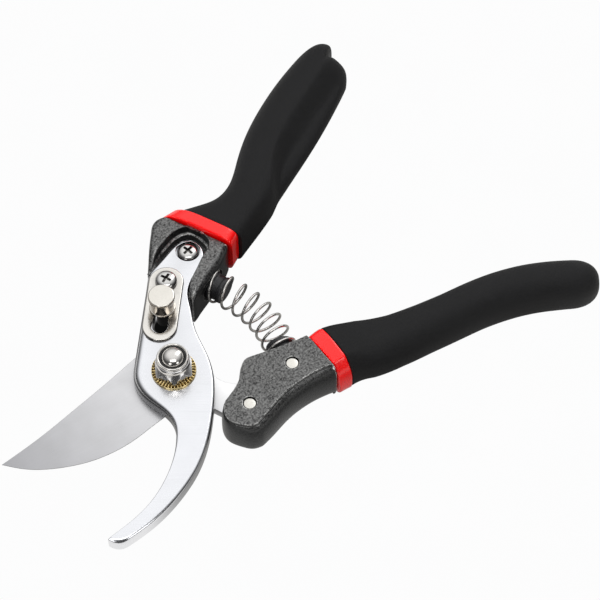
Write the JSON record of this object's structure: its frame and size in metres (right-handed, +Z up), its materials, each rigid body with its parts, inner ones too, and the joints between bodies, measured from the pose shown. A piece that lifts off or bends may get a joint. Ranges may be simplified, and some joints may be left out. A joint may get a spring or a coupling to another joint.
{
  "type": "pruning shears",
  "caption": "Bypass pruning shears shown open, with a curved hook jaw, a riveted cutting blade, a bowed return spring, a sliding thumb lock and sleeved handles.",
  "frame": {"origin": "centre of the flat underside of the pivot bolt head, on the pivot axis; the grips' undersides lie in the same plane", "axes": "+Z up the pivot axis to the nut, +X midway between the open handles with the jaw towards -X, +Y towards the hook handle"},
  "size_m": [0.204, 0.1453, 0.0247],
  "materials": {
    "polished_steel": "polished, near white",
    "blade_steel": "satin ground",
    "dark_casting": "dark graphite, finely mottled die casting",
    "black_grip": "matt black with a fine speckle",
    "red_band": "glossy red",
    "nickel": "warm nickel plate",
    "insert_nylon": "dark nylon ring",
    "yellow_zinc": "yellow zinc plate on a serrated washer",
    "black_stud": "smooth black plastic",
    "spring_steel": "bright drawn wire"
  },
  "bodies": {
    "hook_half": {"hook_plate": "polished_steel", "hook_casting": "dark_casting", "hook_grip": "black_grip", "hook_band": "red_band", "pivot_bolt": "nickel", "pivot_nut": "nickel", "nut_insert": "insert_nylon", "toothed_washer": "yellow_zinc", "lock_plate": "nickel", "lock_plate_screw": "nickel", "hook_screw": "nickel", "hook_spring_stud": "black_stud", "return_spring": "spring_steel"},
    "blade_half": {"cutting_blade": "blade_steel", "blade_casting": "dark_casting", "blade_grip": "black_grip", "blade_band": "red_band", "tang_rivets": "nickel", "blade_spring_stud": "black_stud"},
    "lock_slide": {"lock_button": "nickel", "lock_washer": "nickel", "lock_pin": "nickel"}
  },
  "joints": [
    {"name": "pivot", "type": "hinge", "parent": "hook_half", "child": "blade_half", "pos_m": [0, 0, 0], "axis": [0, 0, 1], "range_deg": [0, 41], "stiffness_Nm_per_rad": 0.8, "deforming": ["return_spring"]},
    {"name": "lock", "type": "slide", "parent": "hook_half", "child": "lock_slide", "axis": [-0.7096, -0.7046, 0], "range_m": [0, 0.0075]}
  ]
}
